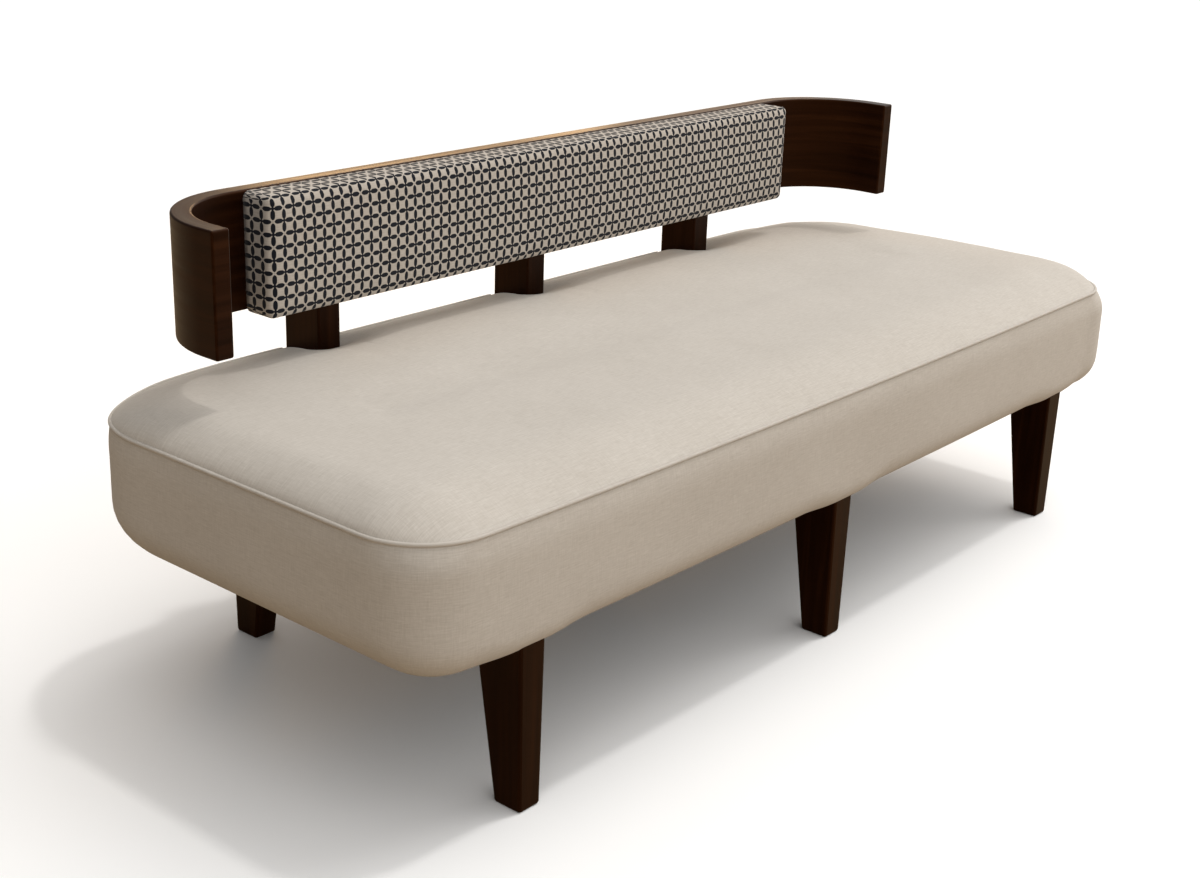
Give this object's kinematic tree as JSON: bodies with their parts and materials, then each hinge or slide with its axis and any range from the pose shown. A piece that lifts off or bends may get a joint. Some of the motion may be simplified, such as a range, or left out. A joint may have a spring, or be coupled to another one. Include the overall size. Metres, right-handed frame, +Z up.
{
  "type": "upholstered bench",
  "caption": "Long upholstered seat on tapered wood legs, with a low bent-wood back band that wraps round the ends and a padded, patterned back rest.",
  "frame": {"origin": "on the floor, under the middle of the bench's box", "axes": "+X along the bench to the sitter's left, +Y from the front to the back rest, +Z up"},
  "size_m": [1.87, 0.786, 0.721],
  "materials": {
    "dark_walnut": "dark stained walnut, satin lacquer",
    "frame_beech": "sawn beech, unfinished",
    "seat_linen": "pale beige linen weave, slightly slubby",
    "pad_print": "beige weave with a navy petal lattice",
    "foam": "polyurethane foam with a fibre wrap",
    "webbing": "woven elastic strap",
    "cambric": "black non-woven dust cloth",
    "zinc_steel": "zinc-plated fasteners"
  },
  "bodies": {
    "root": {"back_band": "dark_walnut", "post_left": "dark_walnut", "post_centre": "dark_walnut", "post_right": "dark_walnut", "leg_front_left": "dark_walnut", "leg_front_centre": "dark_walnut", "leg_front_right": "dark_walnut", "leg_rear_left": "dark_walnut", "leg_rear_centre": "dark_walnut", "leg_rear_right": "dark_walnut", "front_rail": "frame_beech", "rear_rail": "frame_beech", "end_rail_left": "frame_beech", "end_rail_right": "frame_beech", "cross_rail_left": "frame_beech", "cross_rail_right": "frame_beech", "corner_rail_front_left": "frame_beech", "corner_rail_front_right": "frame_beech", "corner_rail_rear_left": "frame_beech", "corner_rail_rear_right": "frame_beech", "pad_board": "frame_beech", "seat_boxing_front": "seat_linen", "piping_front": "seat_linen", "seat_boxing_rear_left": "seat_linen", "piping_rear_left": "seat_linen", "seat_boxing_rear_right": "seat_linen", "piping_rear_right": "seat_linen", "seat_top_cover": "seat_linen", "pad_cover": "pad_print", "seat_foam": "foam", "pad_foam": "foam", "edge_padding_front": "foam", "edge_padding_rear_left": "foam", "edge_padding_rear_right": "foam", "webbing_1": "webbing", "webbing_2": "webbing", "webbing_3": "webbing", "webbing_4": "webbing", "webbing_5": "webbing", "dust_cover": "cambric", "leg_bolt_front_left": "zinc_steel", "leg_bolt_front_centre": "zinc_steel", "leg_bolt_front_right": "zinc_steel", "leg_bolt_rear_left": "zinc_steel", "leg_bolt_rear_centre": "zinc_steel", "leg_bolt_rear_right": "zinc_steel", "post_bolt_left_lower": "zinc_steel", "band_screw_left_lower": "zinc_steel", "post_bolt_left_upper": "zinc_steel", "band_screw_left_upper": "zinc_steel", "post_bolt_centre_lower": "zinc_steel", "band_screw_centre_lower": "zinc_steel", "post_bolt_centre_upper": "zinc_steel", "band_screw_centre_upper": "zinc_steel", "post_bolt_right_lower": "zinc_steel", "band_screw_right_lower": "zinc_steel", "post_bolt_right_upper": "zinc_steel", "band_screw_right_upper": "zinc_steel"}
  },
  "joints": []
}
